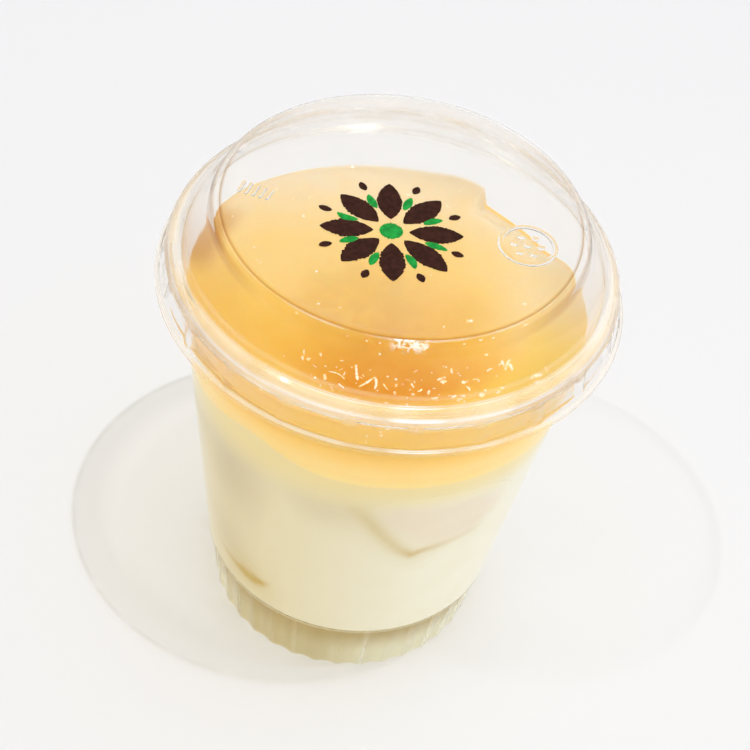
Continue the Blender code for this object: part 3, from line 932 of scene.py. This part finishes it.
class DESSERT_OT_cup(Operator):
    """Make the clear cup with its rolled rim, raised floor and hollow fluted foot"""
    bl_idname = "dessert.make_cup"
    bl_label = "Clear Cup"

    def execute(self, context):
        cup, look = context.scene.dessert_cup, context.scene.dessert_look
        angle = azimuths(cup.flutes * 12)
        foot_top_shade = WALL_BASE_RADIUS - FOOT_STEP
        foot_under = FLOOR_TOP - cup.wall
        cut, small_cut, wide_cut = 0.3 * MM, 0.15 * MM, 0.9 * MM
        corners = [(0, foot_under, 0), (foot_top_shade - cup.wall, foot_under, wide_cut),
                   (FOOT_RADIUS - cup.wall, 0, small_cut), (FOOT_RADIUS, 0, small_cut),
                   (foot_top_shade, FOOT_HEIGHT, cut), (WALL_BASE_RADIUS, WALL_BASE, cut),
                   (WALL_TOP_RADIUS, WALL_TOP, cut)]
        corners += arc(BEAD_CENTRE, BEAD_RADIUS, BEAD_ARC, 19).tolist()
        corners += [(WALL_TOP_RADIUS - cup.wall, WALL_TOP, cut),
                    (wall_radius(FLOOR_TOP + MM) - cup.wall, FLOOR_TOP + MM, cut),
                    (wall_radius(FLOOR_TOP) - cup.wall - FOOT_STEP, FLOOR_TOP, cut), (0, FLOOR_TOP, 0)]
        radius, height = filled_in(rounded(corners), 2.5 * MM).T[:, :, None]
        # A flute is as deep as sqrt(cos^2 + rounding) of half the flutes' turn: rounded ridges stand where
        # the cosine is 0. It is half as deep at the foot's top.
        wave = np.cos(np.radians(angle) * cup.flutes / 2)
        hollow = cup.flute_depth * (np.sqrt(wave ** 2 + RIDGE_ROUNDING) - np.sqrt(RIDGE_ROUNDING))
        hollow = hollow * (1 - 0.5 * height / FOOT_HEIGHT)
        on_foot = (height < FOOT_HEIGHT + 0.01 * MM) & (radius > FOOT_RADIUS - 2 * MM)
        points = round_z(radius - on_foot * hollow, height, angle)
        add_piece("clear_cup", points, cup_plastic(look, cup.flutes), "cup")
        return {"FINISHED"}


def lid_outline(wall, count):
    """The lid's softened outline and, back from the skirt, its parallel at the wall's distance.

    The shoulder and the step inside the top's edge are softened more than the rest. The points lie closer
    together outside the top.
    """
    outer = np.array(LID_OUTLINE) * MM
    outer[:, 1] = TOTAL_HEIGHT - outer[:, 1]
    fine = evenly(outer, 4000)
    reach = fine[:, :1] / MM
    softer = smooth(reach, *SHOULDER_BEGINS) * (1 - smooth(reach, *SHOULDER_ENDS))
    softer = softer + 1 - smooth(reach, *STEP_ENDS)
    outer = softened(fine, LID_SOFTNESS)
    outer = outer + softer * (softened(fine, SHOULDER_SOFTNESS) - outer)
    outer[:, 1] += TOTAL_HEIGHT - outer[:, 1].max()
    way = np.gradient(outer, axis=0)
    way = way / np.linalg.norm(way, axis=1, keepdims=True)
    inner = outer + wall * np.stack([way[:, 1], -way[:, 0]], 1)
    inner[0, 0] = 0
    turn = np.linspace(0, np.pi, 9)[1:-1, None]
    middle, arm = (outer[-1] + inner[-1]) / 2, (outer[-1] - inner[-1]) / 2
    lip = middle + arm * np.cos(turn)
    whole = np.vstack([outer, lip, inner[::-1]])
    share = np.where(whole[:, 0] > 36.5 * MM, 0.16, 0.01)
    return thinned(whole, count, share)


class DESSERT_OT_lid(Operator):
    """Make the clear lid with its flat top, sloping shoulder, flange and skirt with catches"""
    bl_idname = "dessert.make_lid"
    bl_label = "Clear Lid"

    def execute(self, context):
        lid, look = context.scene.dessert_lid, context.scene.dessert_look
        angle = azimuths(lid.lugs * 14)
        radius, height = lid_outline(lid.wall, 300).T[:, :, None]
        # Each catch is pressed in between two ribs, with a smooth edge all round.
        pitch = 360 / lid.lugs
        from_rib = np.abs((angle + pitch / 2) % pitch - pitch / 2)
        pressed = smooth(from_rib, *RIB_HALF_WIDTHS) * smooth(radius, MOUTH_RADIUS, MOUTH_RADIUS + LUG_EDGE)
        pressed = pressed * smooth(height / MM, *LUG_BEGINS) * (1 - smooth(height / MM, *LUG_ENDS))
        points = round_z(radius - lid.lug_depth * pressed, height, angle)
        add_piece("clear_lid", points, lid_plastic(look), "lid")
        return {"FINISHED"}


class DESSERT_OT_lid_relief(Operator):
    """Make the small raised ring, dots and bars moulded into the lid's top"""
    bl_idname = "dessert.make_lid_relief"
    bl_label = "Lid Relief"

    def execute(self, context):
        material = relief_plastic(context.scene.dessert_look)
        t = np.linspace(-1, 1, 15)[:, None]
        taper = np.sqrt(np.clip(1 - t[:, 0] ** 8, 0, 1))

        def raised(middles, reach, half_width):
            """Strands of that half-length and half-width, in mm, closed as sqrt(1 - t^8) at the ends."""
            plan = (middles[:, None] + t * reach) * MM
            centre = np.concatenate([plan, np.full((*plan.shape[:2], 1), LID_PANEL)], 2)
            return strands(centre, half_width * MM * taper, MARK_HALF_HEIGHT * MM * taper)

        turn = np.radians(np.arange(6) * 60)
        ring = DOTS_RADIUS * np.stack([np.cos(turn), np.sin(turn)], 1)
        dots = np.r_[[(0, 0)], ring] + RING_MIDDLE
        bars = BARS_START + np.arange(5)[:, None] * BARS_STEP
        marks = np.r_[raised(dots, DOT_REACH, DOT_HALF_WIDTH), raised(bars, BAR_REACH, BAR_HALF_WIDTH)]
        add_piece("lid_dots", marks, material)
        across = np.radians(np.linspace(0, 360, 12))[:, None]
        radius = (RING_RADIUS + RING_TUBE[0] * np.cos(across)) * MM
        height = LID_PANEL + RING_TUBE[1] * MM * np.sin(across)
        points = round_z(radius, height, azimuths(96)) + np.array([*RING_MIDDLE, 0]) * MM
        add_piece("lid_ring", points, material)
        return {"FINISHED"}


class DESSERT_OT_lid_print(Operator):
    """Make the printed flower: dark petals round a green middle, with green buds and dark tips between"""
    bl_idname = "dessert.make_lid_print"
    bl_label = "Lid Print"

    def execute(self, context):
        lid, look = context.scene.dessert_lid, context.scene.dessert_look
        draw = np.random.default_rng(SEED)
        t = np.linspace(0, 1, 41)[None]

        def leaves(count, turn, start, length, width, lean):
            """Slightly uneven leaf shapes round the middle, in mm: half-width is width * sin(pi t)^lean."""
            angle = np.radians(turn + np.arange(count) * 360 / count)[:, None]
            out = start + t * length * (1 + 0.04 * draw.standard_normal((count, 1)))
            bend = 0.03 * np.sin(np.pi * t) * draw.standard_normal((count, 1))
            plan = np.stack([out * np.cos(angle + bend), out * np.sin(angle + bend)], -1) + FLOWER_MIDDLE
            centre = np.concatenate([plan * MM, np.full((count, t.size, 1), LID_PANEL + INK_HALF_HEIGHT)], 2)
            rough = 1 + 0.05 * draw.standard_normal((count, t.size))
            return strands(centre, width * MM * np.sin(np.pi * t) ** lean * rough, INK_HALF_HEIGHT, 12)

        count, long, between = lid.petals, lid.petal_length / MM, FLOWER_TURN + 180 / lid.petals
        for name, ink, colour, shapes in (
                ("petals", "dark_ink", look.ink, leaves(count, FLOWER_TURN, 3.4, long, 2.5, 0.75)),
                ("tips", "dark_ink_tips", look.ink, leaves(count, between, 12.2, 2.6, 0.8, 0.6)),
                ("buds", "green_ink", look.ink_green, leaves(count, between, 6.8, 4.2, 0.85, 0.6)),
                ("heart", "green_ink_heart", look.ink_green, leaves(1, 0, -2.3, 4.6, 2.3, 0.5))):
            add_piece("print_" + name, shapes, lid_ink(ink, colour, look))
        return {"FINISHED"}


def inner_radius(z, context):
    """Radius of the contents at height z: just inside the material of the wall."""
    return wall_radius(z) - context.scene.dessert_cup.wall + context.scene.dessert_filling.reach


class DESSERT_OT_jelly(Operator):
    """Make the jelly layer, with a raised edge at the wall and a slump at the far right"""
    bl_idname = "dessert.make_jelly"
    bl_label = "Jelly"

    def execute(self, context):
        look = context.scene.dessert_look
        angle = azimuths(360)
        share = np.sqrt(np.linspace(0, 1, 40))[:, None]
        edge_share = np.linspace(0, 1, 90)[:, None]
        # The underside turns down and the top turns up at the wall, as high powers of the share.
        low = layer_height(share, angle) - JELLY_TURN_DOWN * share ** 20
        top = jelly_height(edge_share, angle) + JELLY_TURN_UP * edge_share ** 40
        side = np.linspace(0, 1, 16)[1:-1, None]
        side_height = low[-1:] + side * (top[-1:] - low[-1:])
        height = np.concatenate([low, side_height, top[::-1]])
        spread = np.concatenate([share, np.ones_like(side), edge_share[::-1]])
        points = round_z(spread * (inner_radius(height, context) + JELLY_PROUD), height, angle)
        add_piece("jelly_layer", points, amber_jelly(look), "jelly", sharp=60)
        return {"FINISHED"}


class DESSERT_OT_jelly_bubbles(Operator):
    """Make the small domes and creases on the jelly, painted pale as glints, most of them at the front"""
    bl_idname = "dessert.make_jelly_bubbles"
    bl_label = "Jelly Bubbles"

    def execute(self, context):
        filling, look = context.scene.dessert_filling, context.scene.dessert_look
        draw = np.random.default_rng(SEED)

        def scatter(count):
            """Places on the jelly's top, three in four of them at the front and near the wall."""
            front = draw.random(count) < FRONT_SHARE
            azimuth = np.where(front, draw.normal(*FRONT_AZIMUTH, count), draw.uniform(0, 360, count)) % 360
            share = np.where(front, draw.uniform(0.5, 0.97, count), np.sqrt(draw.uniform(0, 0.9, count)))
            height = jelly_height(share[None], azimuth[None])[0]
            return round_z(share * inner_radius(height, context), height, azimuth)

        # A dome is a flattened ball, sunk by half: radius * (cos a cos b, cos a sin b, 0.7 sin a). Most of
        # the radii are small.
        least, most = DOME_RADII
        size = (least + (most - least) * draw.random(filling.bubbles) ** 3)[:, None, None, None] * MM
        tilt = np.radians(np.linspace(-90, 90, 9))[:, None]
        ball = round_z(np.cos(tilt), 0.7 * np.sin(tilt), azimuths(12))
        points = scatter(filling.bubbles)[:, None, None] + size * ball
        glint_froth = painted_glints(look)
        add_piece("jelly_bubbles", points, glint_froth, sharp=80)

        # A crease is a thin strand that bends once, on the surface.
        t = np.linspace(-1, 1, 21)[None]
        placed = np.array(CREASES) * MM
        loose = scatter(filling.creases)[:, :2]
        turn = draw.uniform(0, np.pi, filling.creases)
        half = draw.uniform(*CREASE_HALF_LENGTHS, (filling.creases, 1)) * MM
        half = half * np.stack([np.cos(turn), np.sin(turn)], 1)
        start, end = np.r_[placed[:, :2], loose - half], np.r_[placed[:, 2:4], loose + half]
        loose_width = draw.uniform(*CREASE_HALF_WIDTHS, filling.creases) * MM
        half_width = np.r_[CREASE_FACTOR * placed[:, 4], loose_width]
        count = len(start)
        middle, way = (start + end) / 2, (end - start) / 2
        bend = draw.normal(0, 0.15, (count, 1)) * (1 - t ** 2)
        plan_x = middle[:, :1] + way[:, :1] * t - way[:, 1:] * bend
        plan_y = middle[:, 1:] + way[:, 1:] * t + way[:, :1] * bend
        share = np.hypot(plan_x, plan_y) / inner_radius(JELLY_TOP, context)
        height = jelly_height(share, np.degrees(np.arctan2(plan_y, plan_x)) % 360)
        centre = np.stack([plan_x, plan_y, height], -1)
        rough = 1 + 0.25 * draw.standard_normal((count, t.size))
        thick = half_width[:, None] * rough * np.sqrt(np.clip(1 - t ** 4, 0, 1))
        add_piece("jelly_creases", strands(centre, thick, 0.8 * thick), glint_froth, sharp=80)
        return {"FINISHED"}


class DESSERT_OT_mousse(Operator):
    """Make the mousse from the raised floor up to the jelly, with hollows for the fruit"""
    bl_idname = "dessert.make_mousse"
    bl_label = "Mousse"

    def execute(self, context):
        look = context.scene.dessert_look
        angle = azimuths(540)
        gap, fillet = 0.02 * MM, 1.2 * MM
        bottom = FLOOR_TOP + gap
        # From the middle of the floor out, round a fillet, up the side and back to the middle at the top
        floor = np.linspace(0, 1, 8)[:, None]
        turn = np.radians(np.linspace(0, 90, 8))[1:, None]
        climb = np.linspace(0, 1, 110)[1:, None]
        top = np.linspace(1, 0, 12)[1:, None]
        side_low, side_high = bottom + fillet, layer_height(1, angle) - gap
        height = np.concatenate([
            bottom + 0 * floor * angle, bottom + fillet * (1 - np.cos(turn)) + 0 * angle,
            side_low + climb * (side_high - side_low), layer_height(top, angle) - gap])
        share = np.concatenate([floor, 1 + 0 * turn, 1 + 0 * climb, top])
        inset = np.concatenate([fillet + 0 * floor, fillet * (1 - np.sin(turn)), 0 * climb, 0 * top])
        radius = share * (inner_radius(height, context) - inset)
        for fruit in (WEDGE, SLICE):
            # The hollow is the fruit's back: its depth falls as sqrt(1 - share^2) to the outline.
            distance, reach = fruit_distance(fruit, angle, height)
            hollow = (fruit[2] + FRUIT_GAP) * np.sqrt(np.clip(1 - (distance / reach) ** 2, 0, 1))
            radius -= (share == 1) * hollow
        points = round_z(radius, height, angle)
        # Painted brown shadow beside the fruit, and broad painted shade
        marks = {"brown": fruit_marks(angle, height)[0], "tone": mousse_painted_shade(angle, height)}
        add_piece("mousse_body", points, cream_mousse(look), "mousse", sharp=70, marks=marks)
        return {"FINISHED"}


class DESSERT_OT_fruit(Operator):
    """Make the two pieces of fruit that show at the wall"""
    bl_idname = "dessert.make_fruit"
    bl_label = "Fruit"

    def execute(self, context):
        look = context.scene.dessert_look
        for node, fruit, slot, flesh in (("fruit_wedge", WEDGE, "pale_fruit", look.fruit_inside),
                                         ("fruit_slice", SLICE, "brown_fruit", look.brown)):
            self.make(node, fruit, fruit_flesh(slot, flesh, look), slot, context)
        return {"FINISHED"}

    def make(self, node, fruit, material, slot, context):
        """Flat front on the wall and a half-dome back.

        Rings shrink from the outline to the middle as sin(t), and the back sinks as depth * cos(t). The
        front reaches a lip's width past the outline, where it runs into the mousse.
        """
        azimuth, middle, depth = fruit[:3]
        outline = fruit_outline(fruit)[None]
        lip = 1 + FRUIT_LIP / np.linalg.norm(outline, axis=2)
        part = np.sin(np.radians(np.linspace(0, 90, 30)))[:, None]
        spread = np.concatenate([part + 0 * lip, lip, part[::-1] + 0 * lip])
        proud, lip_sunk, back_sunk = 0.05 * MM, [[0.09 * MM]], 0.12 * MM
        sunk = np.r_[0 * part, lip_sunk, depth * np.sqrt(1 - part[::-1] ** 2) + back_sunk]
        height = middle + spread * outline[..., 1]
        angle = azimuth + np.degrees(spread * outline[..., 0] / wall_radius(height))
        points = round_z(inner_radius(height, context) + proud - sunk, height, angle)
        # Painted brown shadow along the lower rim, and broad painted shade
        brown, inside = fruit_marks(angle, height)
        marks = {"brown": brown, "inside": inside, "tone": mousse_painted_shade(angle, height)}
        add_piece(node + "_piece", points, material, node, sharp=75, marks=marks)


# The stage

def add_lamp(name, kind, power):
    """Round soft lamp, whose kind is its place, size and colour, turned to the lamps' aim."""
    place, size, colour = kind
    light = bpy.data.lights.new(name, "AREA")
    light.shape = "DISK"
    light.size = size
    light.energy = power
    light.color = colour
    lamp = bpy.data.objects.new(name, light)
    lamp.location = place
    way = Vector(LAMP_AIM) - Vector(place)
    lamp.rotation_euler = way.to_track_quat("-Z", "Y").to_euler()
    bpy.context.scene.collection.objects.link(lamp)


class DESSERT_OT_stage(Operator):
    """Make the pale floor, the lamps, the soft light from all round and the camera"""
    bl_idname = "dessert.make_stage"
    bl_label = "Stage"

    def execute(self, context):
        stage, scene = context.scene.dessert_stage, context.scene
        mesh = bpy.data.meshes.new("floor")
        corners = FLOOR_HALF_SIDE * np.array([(-1, -1, 0), (1, -1, 0), (1, 1, 0), (-1, 1, 0)])
        mesh.from_pydata(corners, [], [(0, 1, 2, 3)])
        mesh.materials.append(floor_finish(stage))
        floor = bpy.data.objects.new("floor", mesh)
        scene.collection.objects.link(floor)
        add_lamp("right_lamp", RIGHT_LAMP, stage.right_lamp)
        add_lamp("left_lamp", LEFT_LAMP, stage.left_lamp)
        self.sky(scene, stage)
        self.camera(scene)
        scene.view_settings.view_transform = "Standard"
        scene.cycles.use_denoising = True
        scene.cycles.max_bounces = 40
        scene.cycles.transmission_bounces = 32
        scene.cycles.glossy_bounces = 16
        scene.cycles.transparent_max_bounces = 40
        scene.cycles.sample_clamp_indirect = 0
        return {"FINISHED"}

    def sky(self, scene, stage):
        """Soft light from all round: bright from the right, warm from the left, darker in front."""
        world = bpy.data.worlds.new("studio")
        world.use_nodes = True
        world.node_tree.nodes.clear()
        board = Wire(world.node_tree)
        across = board.node("SeparateXYZ", {}, {0: board.node("TexCoord", output="Generated")})
        ahead, up = across.other(1), across.other(2)
        low = across.rise(-0.9, 0.6).mix(stage.sky_left, stage.sky_right)
        colour = up.rise(0.1, 0.8).mix(low, stage.sky_top)
        facing = (-0.92 * ahead + 0.39 * up).rise(0.75, 0.97)
        colour = (0.45 * facing).mix(colour, stage.sky_front)
        light = board.node("Background", {}, {"Color": colour, "Strength": stage.sky})
        end = world.node_tree.nodes.new("ShaderNodeOutputWorld")
        world.node_tree.links.new(light.socket, end.inputs["Surface"])
        scene.world = world

    def camera(self, scene):
        """Camera at the measured angle and distance, with no shift and no blur."""
        lens = bpy.data.cameras.new("camera")
        lens.lens = CAMERA_LENS
        lens.clip_start = 0.01
        camera = bpy.data.objects.new("camera", lens)
        turn = Matrix.Translation((0, 0, CAMERA_AIM))
        turn @= Matrix.Rotation(np.radians(90 - CAMERA_ELEVATION), 4, "X")
        turn @= Matrix.Translation((0, 0, CAMERA_DISTANCE))
        for angle, axis in ((CAMERA_ROLL, "Z"), (CAMERA_TILT, "X"), (CAMERA_PAN, "Y")):
            turn @= Matrix.Rotation(np.radians(angle), 4, axis)
        camera.matrix_world = turn
        scene.collection.objects.link(camera)
        scene.camera = camera


SETTINGS = {
    "dessert_cup": CupSettings,
    "dessert_lid": LidSettings,
    "dessert_filling": FillingSettings,
    "dessert_look": LookSettings,
    "dessert_stage": StageSettings,
}
MAKERS = (
    DESSERT_OT_stage, DESSERT_OT_cup, DESSERT_OT_lid, DESSERT_OT_lid_relief, DESSERT_OT_lid_print,
    DESSERT_OT_jelly, DESSERT_OT_jelly_bubbles, DESSERT_OT_mousse, DESSERT_OT_fruit,
)


class DESSERT_PT_panel(Panel):
    """Lists the pieces and their settings"""
    bl_label = "Mousse Cup"
    bl_space_type = "VIEW_3D"
    bl_region_type = "UI"
    bl_category = "Dessert"

    def draw(self, context):
        for maker in MAKERS:
            self.layout.operator(maker.bl_idname)
        for name, settings in SETTINGS.items():
            box = self.layout.box()
            for key in settings.__annotations__:
                box.prop(getattr(context.scene, name), key)


def register():
    """Register the classes, and give the scene its settings."""
    for settings in SETTINGS.values():
        bpy.utils.register_class(settings)
    for name, settings in SETTINGS.items():
        setattr(bpy.types.Scene, name, PointerProperty(type=settings))
    for maker in MAKERS:
        bpy.utils.register_class(maker)
    bpy.utils.register_class(DESSERT_PT_panel)


def unregister():
    """Take them away again."""
    bpy.utils.unregister_class(DESSERT_PT_panel)
    for maker in reversed(MAKERS):
        bpy.utils.unregister_class(maker)
    for name, settings in SETTINGS.items():
        delattr(bpy.types.Scene, name)
        bpy.utils.unregister_class(settings)


def main():
    """Make everything in order."""
    register()
    bpy.ops.dessert.make_stage()
    bpy.ops.dessert.make_cup()
    bpy.ops.dessert.make_lid()
    bpy.ops.dessert.make_lid_relief()
    bpy.ops.dessert.make_lid_print()
    bpy.ops.dessert.make_jelly()
    bpy.ops.dessert.make_jelly_bubbles()
    bpy.ops.dessert.make_mousse()
    bpy.ops.dessert.make_fruit()


if __name__ == "__main__":
    main()
